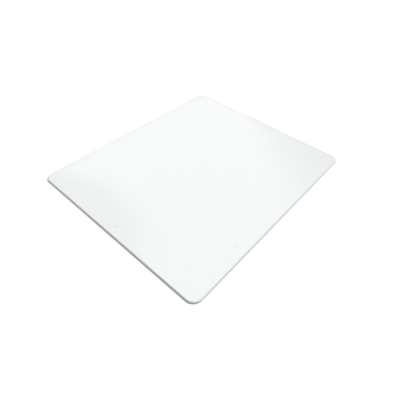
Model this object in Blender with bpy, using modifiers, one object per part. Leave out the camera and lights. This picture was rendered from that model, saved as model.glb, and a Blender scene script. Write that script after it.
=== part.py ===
"""Tempered-glass chair mat: one bevelled pane on a grid of clear stick-on bumper pads.

Metres, +Z up. The origin is on the floor under the middle of the mat, the long side
runs along X and the short side along Y. Every piece is its own closed object.
"""

import math

import bmesh
import bpy
from mathutils import Matrix, Vector

# Driving dimensions
MAT_LENGTH = 1.346  # 53 in, along X
MAT_WIDTH = 1.143  # 45 in, along Y
CORNER_RADIUS = 0.050
PANE_THICKNESS = 0.006
BEVEL_WIDTH = 0.0095  # three-eighths of an inch, measured across the top face
BEVEL_DROP = 0.0020  # how far the bevel falls towards the edge
ARRIS = 0.0012  # the ground flat that takes the sharpness off the edge

BUMPER_RADIUS = 0.011
BUMPER_HEIGHT = 0.0020
BUMPER_CHAMFER = 0.0006
ADHESIVE_RADIUS = 0.0102
ADHESIVE_HEIGHT = 0.0004
CONTACT_GAP = 0.0003  # clearance kept between pieces that touch

PAD_COLUMNS = 5  # along X
PAD_ROWS = 3  # along Y
PAD_INSET = 0.060  # from the mat's edge to the centre of the outer pads

# Resolution of the round shapes
CORNER_SEGMENTS = 14
DISC_SEGMENTS = 24

# Heights that follow from the dimensions above
ADHESIVE_BOTTOM = BUMPER_HEIGHT + CONTACT_GAP
PANE_BOTTOM = ADHESIVE_BOTTOM + ADHESIVE_HEIGHT + CONTACT_GAP
NOSE_HEIGHT = PANE_THICKNESS - BEVEL_DROP

ARRIS_ANGLE = math.radians(60)  # only edges sharper than this get the arris

# Materials: name, colour, roughness, metallic
GLASS = ("clear_glass", (0.90, 0.94, 0.92, 1.0), 0.05, 0.0)
BUMPER = ("clear_bumper_elastomer", (0.84, 0.88, 0.87, 1.0), 0.25, 0.0)
ADHESIVE = ("clear_adhesive_film", (0.80, 0.83, 0.81, 1.0), 0.45, 0.0)


def clear_scene():
    for scene_object in list(bpy.data.objects):
        bpy.data.objects.remove(scene_object, do_unlink=True)


def make_collection(name):
    collection = bpy.data.collections.new(name)
    bpy.context.scene.collection.children.link(collection)
    return collection


def make_material(name, colour, roughness, metallic):
    material = bpy.data.materials.new(name)
    material.use_nodes = True
    shader = material.node_tree.nodes["Principled BSDF"]
    shader.inputs["Base Color"].default_value = colour
    shader.inputs["Roughness"].default_value = roughness
    shader.inputs["Metallic"].default_value = metallic
    return material


def finish_mesh(shape, name, material, smooth_angle):
    """Write a bmesh to a named mesh with its material and smooth round faces."""
    bmesh.ops.recalc_face_normals(shape, faces=shape.faces)
    mesh = bpy.data.meshes.new(name)
    shape.to_mesh(mesh)
    shape.free()
    mesh.materials.append(material)
    mesh.shade_smooth()
    mesh.set_sharp_from_angle(angle=smooth_angle)
    return mesh


def place(collection, parent, name, mesh, location):
    piece = bpy.data.objects.new(name, mesh)
    collection.objects.link(piece)
    piece.parent = parent
    piece.location = location
    return piece


def rounded_rectangle(shape, length, width, radius, segments):
    """One flat face in the XY plane with four round corners."""
    bmesh.ops.create_grid(shape, x_segments=1, y_segments=1, size=0.5)
    bmesh.ops.scale(shape, vec=(length, width, 1.0), verts=shape.verts)
    bmesh.ops.bevel(
        shape,
        geom=list(shape.verts),
        offset=radius,
        offset_type="OFFSET",
        affect="VERTICES",
        segments=segments,
        profile=0.5,
    )
    return shape.faces[:]


def pane_mesh(material):
    """The glass: a rounded rectangle, an upright nose, and a bevel up to the flat top.

    The outline is raised twice, first straight up by the nose and then inwards and
    upwards by the bevel, so the bevel keeps one width round the corners as well.
    """
    shape = bmesh.new()
    top = rounded_rectangle(
        shape, MAT_LENGTH, MAT_WIDTH, CORNER_RADIUS, CORNER_SEGMENTS
    )
    raised = bmesh.ops.extrude_face_region(
        shape, geom=top, use_keep_orig=True
    )["geom"]
    top = [item for item in raised if isinstance(item, bmesh.types.BMFace)]
    rim = [item for item in raised if isinstance(item, bmesh.types.BMVert)]
    bmesh.ops.translate(shape, vec=Vector((0, 0, NOSE_HEIGHT)), verts=rim)
    bmesh.ops.inset_region(
        shape,
        faces=top,
        thickness=BEVEL_WIDTH,
        depth=BEVEL_DROP,
        use_even_offset=True,
    )
    return finish_mesh(shape, "glass_pane", material, math.radians(10))


def disc_mesh(name, radius, height, chamfer, material):
    """A round disc standing on Z = 0, its lower edge chamfered if asked for."""
    shape = bmesh.new()
    bmesh.ops.create_cone(
        shape,
        cap_ends=True,
        segments=DISC_SEGMENTS,
        radius1=radius,
        radius2=radius,
        depth=height,
        matrix=Matrix.Translation((0, 0, height / 2)),
    )
    if chamfer:
        lower_edges = [
            edge for edge in shape.edges if max(v.co.z for v in edge.verts) < height / 2
        ]
        bmesh.ops.bevel(
            shape,
            geom=lower_edges,
            offset=chamfer,
            offset_type="OFFSET",
            affect="EDGES",
            segments=1,
        )
    return finish_mesh(shape, name, material, math.radians(40))


def pad_centres():
    """The pads' places, row by row, evenly spread between the outer ones."""
    reach_x = MAT_LENGTH / 2 - PAD_INSET
    reach_y = MAT_WIDTH / 2 - PAD_INSET
    for row in range(PAD_ROWS):
        for column in range(PAD_COLUMNS):
            yield (
                -reach_x + 2 * reach_x * column / (PAD_COLUMNS - 1),
                -reach_y + 2 * reach_y * row / (PAD_ROWS - 1),
            )


def build_pane(collection, parent, material):
    pane = place(
        collection, parent, "glass_pane", pane_mesh(material), (0, 0, PANE_BOTTOM)
    )
    arris = pane.modifiers.new("arris", "BEVEL")
    arris.width = ARRIS
    arris.segments = 1
    arris.limit_method = "ANGLE"
    arris.angle_limit = ARRIS_ANGLE


def build_pads(collection, parent, bumper_material, adhesive_material):
    """A moulded bumper and the adhesive disc that holds it to the glass, at each place."""
    bumper_shape = disc_mesh(
        "bumper_pad", BUMPER_RADIUS, BUMPER_HEIGHT, BUMPER_CHAMFER, bumper_material
    )
    adhesive_shape = disc_mesh(
        "adhesive_disc", ADHESIVE_RADIUS, ADHESIVE_HEIGHT, 0.0, adhesive_material
    )
    for number, (x, y) in enumerate(pad_centres(), start=1):
        place(collection, parent, f"bumper_pad_{number:02d}", bumper_shape, (x, y, 0))
        place(
            collection,
            parent,
            f"adhesive_disc_{number:02d}",
            adhesive_shape,
            (x, y, ADHESIVE_BOTTOM),
        )


def build_mat():
    clear_scene()
    collection = make_collection("Chair_Mat")
    root = bpy.data.objects.new("chair_mat_root", None)
    collection.objects.link(root)
    build_pane(collection, root, make_material(*GLASS))
    build_pads(collection, root, make_material(*BUMPER), make_material(*ADHESIVE))


build_mat()
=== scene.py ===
import math

import bmesh
import bpy
from mathutils import Matrix, Vector


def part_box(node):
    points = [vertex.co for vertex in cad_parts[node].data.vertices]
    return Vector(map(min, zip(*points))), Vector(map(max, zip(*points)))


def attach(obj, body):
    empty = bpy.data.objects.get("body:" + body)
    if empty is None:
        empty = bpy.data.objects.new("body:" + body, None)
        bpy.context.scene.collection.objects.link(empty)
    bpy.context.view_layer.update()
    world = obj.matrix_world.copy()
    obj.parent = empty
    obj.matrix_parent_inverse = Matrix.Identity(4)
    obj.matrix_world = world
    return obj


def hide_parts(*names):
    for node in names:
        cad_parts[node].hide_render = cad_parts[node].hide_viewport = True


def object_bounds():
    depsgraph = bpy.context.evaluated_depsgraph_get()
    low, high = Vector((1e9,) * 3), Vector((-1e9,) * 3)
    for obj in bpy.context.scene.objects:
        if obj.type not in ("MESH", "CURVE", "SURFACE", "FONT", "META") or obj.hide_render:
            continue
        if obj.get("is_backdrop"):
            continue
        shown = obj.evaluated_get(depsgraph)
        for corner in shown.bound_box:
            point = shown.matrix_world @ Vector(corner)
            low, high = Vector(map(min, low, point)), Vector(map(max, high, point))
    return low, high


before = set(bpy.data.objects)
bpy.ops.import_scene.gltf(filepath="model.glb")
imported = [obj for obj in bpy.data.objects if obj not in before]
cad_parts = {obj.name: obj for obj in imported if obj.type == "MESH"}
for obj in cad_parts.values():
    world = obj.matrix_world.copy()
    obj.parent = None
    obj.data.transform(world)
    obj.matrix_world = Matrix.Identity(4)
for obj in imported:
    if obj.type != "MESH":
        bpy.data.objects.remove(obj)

cad_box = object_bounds()

# Places and sizes that the frame's boxes give. Metres, +Z up.
PANE_LOW, PANE_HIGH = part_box("glass_pane")
HALF_LENGTH = PANE_HIGH.x
HALF_WIDTH = PANE_HIGH.y
PANE_BOTTOM = PANE_LOW.z
PANE_TOP = PANE_HIGH.z
BUMPER_NODES = sorted(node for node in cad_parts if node.startswith("bumper_pad_"))

# Sizes of the glass edge, as in the CAD
CORNER_RADIUS = 0.050
BEVEL_WIDTH = 0.0095
BEVEL_DROP = 0.0020
ARRIS = 0.0012

# Details of the glass edge that only the visual mesh has
BEVEL_ROUNDING = 0.0006  # half the width of the soft line where the bevel meets the top
ROUNDING_SHARES = (-1.0, -0.5, 0.0, 0.5, 1.0)  # rings across that line, as shares of the half
SEAMING = 0.0006  # how far up the bevel the nose's ground look, with its painted dark shade, reaches
CORNER_STEPS = 32
ARRIS_STEPS = 6

# The stuck pads
DISC_STEPS = 48
RIM_STEPS = 5
TOP_ROUNDING_STEPS = 3
BUMPER_RIM = 0.0007  # radius of the rounded lower rim
BUMPER_TOP_ROUNDING = 0.0002
BUMPER_CROWN = 0.00002  # how far the lands' edges curve up from the floor
BUMPER_DISH = ((0.0, 0.00030), (0.0022, 0.00027), (0.0032, 0.00010), (0.0036, BUMPER_CROWN))
GROOVES = (0.0052, 0.0074)  # radii of the grip grooves
GROOVE_DEPTH = 0.00022
GROOVE_FLOOR = 0.00015  # from a groove's middle to the end of its flat floor
GROOVE_MOUTH = 0.00035  # from a groove's middle to the edge of the land
GROOVE_LAND = 0.00060  # from a groove's middle inwards to where the land meets the floor
FILM_CLEARANCE = 0.00003
FILM_FACE_INSET = 0.00015  # the film's bulging edge: its inset at the two faces
FILM_QUARTER_INSET = 0.00003  # and a quarter of the height from each face

# Edges sharper than this, in degrees, stay sharp
PANE_SMOOTH_ANGLE = 30
PAD_SMOOTH_ANGLE = 35

# Material slots of the pane
FACE, BEVEL, NOSE = 0, 1, 2

# Optics. The pads' indices are low, so that the pads hardly show through the pane.
GLASS_IOR = 1.5
ELASTOMER_IOR = 1.07
ADHESIVE_IOR = 1.03
BEVEL_CLEARS = (0.36, 0.52)  # 1 - cosine of the viewing angle, over which the satin turns clear

# What is left of the light that passes each clear piece on its way to the floor
GLASS_LAMP_TINT = (0.988, 0.992, 0.990, 1.0)
NOSE_LAMP_TINT = (0.994, 0.996, 0.995, 1.0)
NOSE_ROOM_TINT = (0.25, 0.30, 0.28, 1.0)
ELASTOMER_LAMP_TINT = (0.998, 0.999, 0.999, 1.0)
ADHESIVE_LAMP_TINT = (0.998, 0.999, 0.998, 1.0)

# What is left of a view that leaves the glass through the nose
NOSE_INSIDE_TINT = (0.975, 0.985, 0.98, 1.0)


# ---------------------------------------------------------------- node helpers


class Tree:
    """A short way to make and join shader nodes."""

    def __init__(self, tree):
        self.tree = tree
        tree.nodes.clear()

    def node(self, kind, inputs=None, **settings):
        made = self.tree.nodes.new(kind)
        for name, value in settings.items():
            setattr(made, name, value)
        for key, value in (inputs or {}).items():
            if isinstance(value, bpy.types.NodeSocket):
                self.tree.links.new(value, made.inputs[key])
            else:
                made.inputs[key].default_value = value
        return made

    def object_coordinates(self, scale=(1.0, 1.0, 1.0), turn=0.0):
        where = self.node("ShaderNodeTexCoord").outputs["Object"]
        return self.node(
            "ShaderNodeMapping",
            {"Vector": where, "Scale": scale, "Rotation": (0.0, 0.0, turn)},
        ).outputs["Vector"]

    def noise(self, vector, scale, detail, roughness=0.55):
        return self.node(
            "ShaderNodeTexNoise",
            {"Vector": vector, "Scale": scale, "Detail": detail, "Roughness": roughness},
        ).outputs["Fac"]

    def remap(self, value, span, result):
        """Takes the two ends of span softly to the two ends of result."""
        return self.node(
            "ShaderNodeMapRange",
            {
                "Value": value,
                "From Min": span[0],
                "From Max": span[1],
                "To Min": result[0],
                "To Max": result[1],
            },
            interpolation_type="SMOOTHSTEP",
        ).outputs["Result"]

    def maths(self, operation, a, b):
        return self.node(
            "ShaderNodeMath", {0: a, 1: b}, operation=operation
        ).outputs["Value"]

    def blend(self, factor, first, second):
        mix = self.node("ShaderNodeMix", data_type="RGBA")
        self.tree.links.new(factor, mix.inputs["Factor"])
        mix.inputs["A"].default_value = first
        mix.inputs["B"].default_value = second
        return mix.outputs["Result"]

    def bump(self, height, strength, distance):
        return self.node(
            "ShaderNodeBump",
            {"Height": height, "Strength": strength, "Distance": distance},
        ).outputs["Normal"]

    def principled(self, colour, roughness, more):
        inputs = {"Base Color": colour, "Roughness": roughness, **more}
        return self.node("ShaderNodeBsdfPrincipled", inputs).outputs["BSDF"]

    def clear(self, tint):
        return self.node("ShaderNodeBsdfTransparent", {"Color": tint}).outputs["BSDF"]

    def mixed(self, share, first, second):
        return self.node(
            "ShaderNodeMixShader", {0: share, 1: first, 2: second}
        ).outputs["Shader"]

    def lets_light_through(self, shader, lamp_tint, room_tint=None):
        """Light on its way to the floor passes the clear piece with only these tints."""
        path = self.node("ShaderNodeLightPath")
        room = self.clear(room_tint or lamp_tint)
        shader = self.mixed(path.outputs["Is Diffuse Ray"], shader, room)
        return self.mixed(path.outputs["Is Shadow Ray"], shader, self.clear(lamp_tint))

    def surface(self, shader):
        self.node("ShaderNodeOutputMaterial", {"Surface": shader})


def new_material(name):
    material = bpy.data.materials.new(name)
    material.use_nodes = True
    return material, Tree(material.node_tree)


# ------------------------------------------------------------------- materials


def face_glass():
    """Polished float glass: a trace of green, wiping marks, and hair-fine castor scuffs."""
    material, tree = new_material("polished_glass_face")
    clouds = tree.noise(tree.object_coordinates(), scale=1.6, detail=3.0)
    tint = tree.blend(clouds, (0.857, 0.879, 0.870, 1.0), (0.867, 0.887, 0.878, 1.0))
    wiping = tree.object_coordinates(scale=(1.0, 5.0, 1.0), turn=0.6)
    wiped = tree.noise(wiping, scale=3.0, detail=6.0, roughness=0.65)
    smears = tree.remap(wiped, span=(0.40, 0.75), result=(0.030, 0.085))
    rolling = tree.object_coordinates(scale=(1.0, 60.0, 1.0), turn=0.35)
    scuffs = tree.noise(rolling, scale=18.0, detail=2.0)
    scuffed = tree.remap(scuffs, span=(0.68, 0.80), result=(0.0, 0.06))
    drawn = tree.object_coordinates(scale=(0.6, 3.2, 1.0))
    roller_wave = tree.noise(drawn, scale=1.0, detail=1.0)
    glass = tree.principled(
        tint,
        tree.maths("ADD", smears, scuffed),
        {
            "IOR": GLASS_IOR,
            "Transmission Weight": 1.0,
            "Normal": tree.bump(roller_wave, strength=0.35, distance=0.0006),
        },
    )
    tree.surface(tree.lets_light_through(glass, GLASS_LAMP_TINT))
    return material


def bevel_glass():
    """The ground bevel: satin and greyer than the face, and clearer when seen at a low angle."""
    material, tree = new_material("ground_glass_bevel")
    grain = tree.noise(tree.object_coordinates(), scale=900.0, detail=3.0)
    cloud = tree.noise(tree.object_coordinates(), scale=9.0, detail=3.0)
    ground = tree.principled(
        tree.blend(cloud, (0.79, 0.81, 0.802, 1.0), (0.83, 0.847, 0.84, 1.0)),
        tree.remap(grain, span=(0.3, 0.7), result=(0.62, 0.82)),
        {
            "IOR": GLASS_IOR,
            "Specular IOR Level": 0.04,
            "Normal": tree.bump(grain, strength=0.25, distance=0.0002),
        },
    )
    clear = tree.node(
        "ShaderNodeBsdfRefraction",
        {
            "Color": tree.blend(cloud, (0.985, 0.996, 0.991, 1.0), (0.992, 1.0, 0.998, 1.0)),
            "Roughness": tree.remap(grain, span=(0.3, 0.7), result=(0.10, 0.20)),
            "IOR": GLASS_IOR,
        },
    ).outputs["BSDF"]
    facing = tree.node("ShaderNodeLayerWeight", {"Blend": 0.5}).outputs["Facing"]
    grazing = tree.remap(facing, span=BEVEL_CLEARS, result=(0.0, 1.0))
    both = tree.mixed(grazing, ground, clear)
    tree.surface(tree.lets_light_through(both, GLASS_LAMP_TINT))
    return material


def nose_glass():
    """The upright nose, where the light caught in the pane comes out dark and grey-green; that
    dark is painted shade in the nose's colour.

    It is dark only from outside. From within the glass it is clear.
    """
    material, tree = new_material("glass_nose_painted_shade")
    along_edge = tree.object_coordinates(scale=(1.0, 1.0, 9.0))
    streaks = tree.noise(along_edge, scale=160.0, detail=3.0)
    # Painted shade: this dark grey-green colour, streaked along the edge, stands in for the dark
    # light that comes out of the pane's edge.
    outside = tree.principled(
        tree.blend(streaks, (0.150, 0.167, 0.160, 1.0), (0.190, 0.211, 0.203, 1.0)),
        tree.remap(streaks, span=(0.3, 0.7), result=(0.16, 0.34)),
        {
            "IOR": GLASS_IOR,
            "Specular IOR Level": 0.05,
            "Normal": tree.bump(streaks, strength=0.3, distance=0.0002),
        },
    )
    from_inside = tree.node("ShaderNodeNewGeometry").outputs["Backfacing"]
    nose_with_painted_shade = tree.mixed(from_inside, outside, tree.clear(NOSE_INSIDE_TINT))
    tree.surface(tree.lets_light_through(nose_with_painted_shade, NOSE_LAMP_TINT, NOSE_ROOM_TINT))
    return material


def bumper_elastomer():
    """Clear moulded elastomer, a little milky, with a satin skin."""
    material, tree = new_material("clear_bumper_elastomer")
    milk = tree.noise(tree.object_coordinates(), scale=220.0, detail=3.0)
    skin = tree.noise(tree.object_coordinates(), scale=1400.0, detail=3.0)
    soft = tree.principled(
        tree.blend(milk, (0.975, 0.985, 0.98, 1.0), (0.996, 0.998, 0.997, 1.0)),
        tree.remap(skin, span=(0.3, 0.7), result=(0.22, 0.36)),
        {
            "IOR": ELASTOMER_IOR,
            "Transmission Weight": 0.96,
            "Normal": tree.bump(skin, strength=0.2, distance=0.0001),
        },
    )
    tree.surface(tree.lets_light_through(soft, ELASTOMER_LAMP_TINT))
    return material


def adhesive_film():
    """Clear pressure-sensitive adhesive, with the faint mottle of wet-out."""
    material, tree = new_material("clear_adhesive_film")
    mottle = tree.noise(tree.object_coordinates(), scale=420.0, detail=5.0, roughness=0.7)
    film = tree.principled(
        tree.blend(mottle, (0.985, 0.992, 0.985, 1.0), (0.997, 0.999, 0.995, 1.0)),
        tree.remap(mottle, span=(0.35, 0.7), result=(0.10, 0.32)),
        {
            "IOR": ADHESIVE_IOR,
            "Transmission Weight": 0.95,
            "Normal": tree.bump(mottle, strength=0.15, distance=0.0001),
        },
    )
    tree.surface(tree.lets_light_through(film, ADHESIVE_LAMP_TINT))
    return material


# ---------------------------------------------------------------------- meshes


def add_piece(name, shape, materials, smooth_angle):
    mesh = bpy.data.meshes.new(name)
    bmesh.ops.recalc_face_normals(shape, faces=shape.faces)
    shape.to_mesh(mesh)
    shape.free()
    for material in materials:
        mesh.materials.append(material)
    mesh.shade_smooth()
    mesh.set_sharp_from_angle(angle=math.radians(smooth_angle))
    piece = bpy.data.objects.new(name, mesh)
    bpy.context.scene.collection.objects.link(piece)
    return piece


def arc(centre, radius, start, end, steps):
    """Points of a circular arc about the centre, with the angles in degrees."""
    for step in range(steps + 1):
        angle = math.radians(start + (end - start) * step / steps)
        yield (
            centre[0] + radius * math.cos(angle),
            centre[1] + radius * math.sin(angle),
        )


def edge_profile():
    """(inset, height, slot) of each ring from the underside round the edge to the top face.

    The slot is the material of the band between a ring and the next one.
    """
    thickness = PANE_TOP - PANE_BOTTOM
    nose_top = thickness - BEVEL_DROP
    climb = math.atan2(BEVEL_DROP, BEVEL_WIDTH)
    slope = math.degrees(climb)
    lower = (ARRIS, ARRIS)
    upper = (ARRIS, nose_top - ARRIS * math.tan(math.radians((90 - slope) / 2)))
    rings = [(*point, NOSE) for point in arc(lower, ARRIS, 270, 180, ARRIS_STEPS)]
    rings += [(*point, NOSE) for point in arc(upper, ARRIS, 180, 90 + slope, ARRIS_STEPS)]
    inset, height, _ = rings[-1]
    rings.append((inset + SEAMING * math.cos(climb), height + SEAMING * math.sin(climb), BEVEL))
    reach = BEVEL_ROUNDING / math.cos(climb / 2)
    rise = reach * math.sin(climb / 2)
    for share in ROUNDING_SHARES:
        fall = 2 * rise * max(-share, 0.0)
        sag = rise / 2 * (1 - abs(share))
        slot = BEVEL if share < 1.0 else FACE
        rings.append((BEVEL_WIDTH + reach * share, thickness - fall - sag, slot))
    return rings


def outline(inset):
    """The rounded rectangle of one ring, counter-clockwise from the right-hand side."""
    for turn, (sx, sy) in enumerate(((1, 1), (-1, 1), (-1, -1), (1, -1))):
        centre = (sx * (HALF_LENGTH - CORNER_RADIUS), sy * (HALF_WIDTH - CORNER_RADIUS))
        start = 90 * turn
        yield from arc(centre, CORNER_RADIUS - inset, start, start + 90, CORNER_STEPS)


def glass_pane():
    shape = bmesh.new()
    rings = []
    for inset, height, slot in edge_profile():
        verts = [shape.verts.new((x, y, PANE_BOTTOM + height)) for x, y in outline(inset)]
        rings.append((verts, slot))
    for (lower, slot), (upper, _) in zip(rings, rings[1:]):
        for i in range(len(lower)):
            j = (i + 1) % len(lower)
            face = shape.faces.new((lower[i], lower[j], upper[j], upper[i]))
            face.material_index = slot
    for verts in (rings[0][0][::-1], rings[-1][0]):
        shape.faces.new(verts).material_index = FACE
    materials = (face_glass(), bevel_glass(), nose_glass())
    pane = add_piece("mat_pane", shape, materials, PANE_SMOOTH_ANGLE)
    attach(pane, "root")
    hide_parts("glass_pane")


def turned(profile, steps):
    """A closed body of revolution from (radius, height) points; it starts and ends on the axis."""
    shape = bmesh.new()
    angles = [math.tau * step / steps for step in range(steps)]
    rings = []
    for radius, height in profile:
        if radius == 0.0:
            rings.append([shape.verts.new((0.0, 0.0, height))])
            continue
        rings.append(
            [
                shape.verts.new((radius * math.cos(angle), radius * math.sin(angle), height))
                for angle in angles
            ]
        )
    for inner, outer in zip(rings, rings[1:]):
        for i in range(steps):
            j = (i + 1) % steps
            corners = (
                inner[i % len(inner)],
                inner[j % len(inner)],
                outer[j % len(outer)],
                outer[i % len(outer)],
            )
            shape.faces.new(tuple(dict.fromkeys(corners)))
    return shape


def groove_profile(radius):
    """A grip groove, and the land's edge on each side of it."""
    return [
        (radius - GROOVE_LAND, 0.0),
        (radius - GROOVE_MOUTH, BUMPER_CROWN),
        (radius - GROOVE_FLOOR, GROOVE_DEPTH),
        (radius + GROOVE_FLOOR, GROOVE_DEPTH),
        (radius + GROOVE_MOUTH, BUMPER_CROWN),
    ]


def bumper_profile(radius, height):
    """A flat bumper: a dished middle and two grip grooves below, and a rounded rim.

    The lands between the grooves crown a hair towards the floor.
    """
    points = list(BUMPER_DISH)
    for groove in GROOVES:
        points += groove_profile(groove)
    points += arc((radius - BUMPER_RIM, BUMPER_RIM), BUMPER_RIM, 270, 360, RIM_STEPS)
    rounding = BUMPER_TOP_ROUNDING
    points += arc((radius - rounding, height - rounding), rounding, 0, 90, TOP_ROUNDING_STEPS)
    return points + [(0.0, height)]


def film_profile(radius, height):
    """A thin die-cut disc whose edge is pressed out a little at mid height."""
    return [
        (0.0, 0.0),
        (radius - FILM_FACE_INSET, 0.0),
        (radius - FILM_QUARTER_INSET, height / 4),
        (radius, height / 2),
        (radius - FILM_QUARTER_INSET, height * 3 / 4),
        (radius - FILM_FACE_INSET, height),
        (0.0, height),
    ]


def stuck_pads():
    elastomer = bumper_elastomer()
    adhesive = adhesive_film()
    for bumper_node in BUMPER_NODES:
        number = bumper_node.removeprefix("bumper_pad_")
        film_node = f"adhesive_disc_{number}"
        low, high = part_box(bumper_node)
        centre = (low + high) / 2
        shape = turned(bumper_profile(high.x - centre.x, high.z), DISC_STEPS)
        bumper = add_piece(f"bumper_{number}", shape, (elastomer,), PAD_SMOOTH_ANGLE)
        bumper.location = (centre.x, centre.y, 0.0)
        film_low = high.z + FILM_CLEARANCE
        film_high = PANE_BOTTOM - FILM_CLEARANCE
        low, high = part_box(film_node)
        shape = turned(film_profile((high - low).x / 2, film_high - film_low), DISC_STEPS)
        film = add_piece(f"adhesive_{number}", shape, (adhesive,), PAD_SMOOTH_ANGLE)
        film.location = (centre.x, centre.y, film_low)
        for piece, node, slot in ((bumper, bumper_node, "bumper"), (film, film_node, "adhesive")):
            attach(piece, "root")
            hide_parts(node)


# ---------------------------------------------------------------------- studio

WHITE = (1.0, 1.0, 1.0, 1.0)
FLOOR_SIZE = 60.0
FLOOR_COLOUR = (0.9, 0.9, 0.9, 1.0)
FLOOR_ROUGHNESS = 0.9

KEY_AZIMUTH = 6.0  # degrees from +X towards +Y
KEY_ELEVATION = 14.5
KEY_STRENGTH = 10.25
KEY_SPREAD = 8.0  # degrees across

# The softbox, a level panel over the mat, in metres east and north at one metre up.
# Each of its sides fades between two such distances.
PANEL_WEST = (0.20, 0.36)
PANEL_EAST = (1.1, 2.9)
PANEL_SOUTH = (0.15, 0.30)
PANEL_NORTH = (1.0, 2.8)
PANEL_SLANT = (0.50, 1.06)  # east minus north, over which the panel's far right end fades
FLAG_CENTRE = (0.25, 1.00)
FLAG_RADII = (0.28, 0.46)
FLAG_EDGE = (0.60, 1.28)  # shares of those radii between which the flag's edge fades
WALL_FADE = (0.12, 0.42)  # sine of the elevation, over which the pale walls end
HORIZON = 0.001  # the least sine of the elevation, which keeps the distances finite

ROOM_STRENGTH = 0.16
PANEL_STRENGTH = 1.40
WALL_STRENGTH = 0.70
BACKDROP_STRENGTH = 1.0

CAMERA_PLACE = (-1.1355, -0.9600, 1.2697)
CAMERA_HEADING = -50.33  # degrees about Z, from +Y
CAMERA_TILT = 44.02  # degrees up from straight down
CAMERA_ROLL = 2.799
CAMERA_LENS = 29.37
CAMERA_SENSOR = 36.0


def floor():
    bpy.ops.mesh.primitive_plane_add(size=FLOOR_SIZE)
    plane = bpy.context.object
    plane.name = "studio_floor"
    material, tree = new_material("white_floor")
    tree.surface(tree.principled(FLOOR_COLOUR, FLOOR_ROUGHNESS, {"Specular IOR Level": 0.0}))
    plane.data.materials.append(material)
    plane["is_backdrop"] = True


def key_light():
    lamp = bpy.data.lights.new("key", "SUN")
    lamp.energy = KEY_STRENGTH
    lamp.angle = math.radians(KEY_SPREAD)
    key = bpy.data.objects.new("key", lamp)
    # Neither a reflection nor a view through the glass shows the lamp.
    key.visible_glossy = False
    key.visible_transmission = False
    bpy.context.scene.collection.objects.link(key)
    azimuth = math.radians(KEY_AZIMUTH)
    elevation = math.radians(KEY_ELEVATION)
    source = Vector(
        (
            math.cos(azimuth) * math.cos(elevation),
            math.sin(azimuth) * math.cos(elevation),
            math.sin(elevation),
        )
    )
    key.rotation_mode = "QUATERNION"
    key.rotation_quaternion = source.to_track_quat("Z", "Y")


def flag_shade(tree, east, north):
    """0 inside the oval flag and 1 outside it."""
    across = tree.maths("DIVIDE", tree.maths("SUBTRACT", east, FLAG_CENTRE[0]), FLAG_RADII[0])
    along = tree.maths("DIVIDE", tree.maths("SUBTRACT", north, FLAG_CENTRE[1]), FLAG_RADII[1])
    square = tree.maths(
        "ADD", tree.maths("MULTIPLY", across, across), tree.maths("MULTIPLY", along, along)
    )
    return tree.remap(tree.maths("POWER", square, 0.5), FLAG_EDGE, (0.0, 1.0))


def softbox(tree, east, north):
    """The strength of the panel that a ray meets at this place, one metre up."""
    panel = tree.remap(east, PANEL_WEST, (0.0, PANEL_STRENGTH))
    for shade in (
        tree.remap(east, PANEL_EAST, (1.0, 0.0)),
        tree.remap(north, PANEL_SOUTH, (0.0, 1.0)),
        tree.remap(north, PANEL_NORTH, (1.0, 0.0)),
        tree.remap(tree.maths("SUBTRACT", east, north), PANEL_SLANT, (1.0, 0.0)),
        flag_shade(tree, east, north),
    ):
        panel = tree.maths("MULTIPLY", panel, shade)
    return panel


def studio_world():
    """A dim room, pale low down all round, with a softbox panel overhead beyond the mat.

    An oval flag hides a piece of the panel's near side, and it fades at its right-hand end.
    The camera itself sees plain white.
    """
    world = bpy.data.worlds.new("studio")
    world.use_nodes = True
    bpy.context.scene.world = world
    tree = Tree(world.node_tree)
    toward = tree.node("ShaderNodeTexCoord").outputs["Generated"]
    split = tree.node("ShaderNodeSeparateXYZ", {"Vector": toward})
    up = tree.maths("MAXIMUM", split.outputs["Z"], HORIZON)
    east = tree.maths("DIVIDE", split.outputs["X"], up)
    north = tree.maths("DIVIDE", split.outputs["Y"], up)
    panel = softbox(tree, east, north)
    walls = tree.remap(split.outputs["Z"], WALL_FADE, (WALL_STRENGTH, 0.0))
    strength = tree.maths("ADD", tree.maths("MAXIMUM", panel, walls), ROOM_STRENGTH)
    lit = tree.node("ShaderNodeBackground", {"Color": WHITE, "Strength": strength})
    seen = tree.node("ShaderNodeBackground", {"Color": WHITE, "Strength": BACKDROP_STRENGTH})
    to_camera = tree.node("ShaderNodeLightPath").outputs["Is Camera Ray"]
    both = tree.mixed(to_camera, lit.outputs["Background"], seen.outputs["Background"])
    tree.node("ShaderNodeOutputWorld", {"Surface": both})


def camera():
    lens = bpy.data.cameras.new("camera")
    lens.lens = CAMERA_LENS
    lens.sensor_width = CAMERA_SENSOR
    seen_from = bpy.data.objects.new("camera", lens)
    bpy.context.scene.collection.objects.link(seen_from)
    seen_from.matrix_world = (
        Matrix.Translation(CAMERA_PLACE)
        @ Matrix.Rotation(math.radians(CAMERA_HEADING), 4, "Z")
        @ Matrix.Rotation(math.radians(CAMERA_TILT), 4, "X")
        @ Matrix.Rotation(math.radians(CAMERA_ROLL), 4, "Z")
    )
    bpy.context.scene.camera = seen_from


glass_pane()
stuck_pads()
floor()
key_light()
studio_world()
camera()
bpy.context.scene.view_settings.view_transform = "Standard"

bpy.context.view_layer.update()
visual_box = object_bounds()
boxes = {"cad": cad_box, "visual": visual_box}
{name: [list(corner) for corner in box] for name, box in boxes.items()}
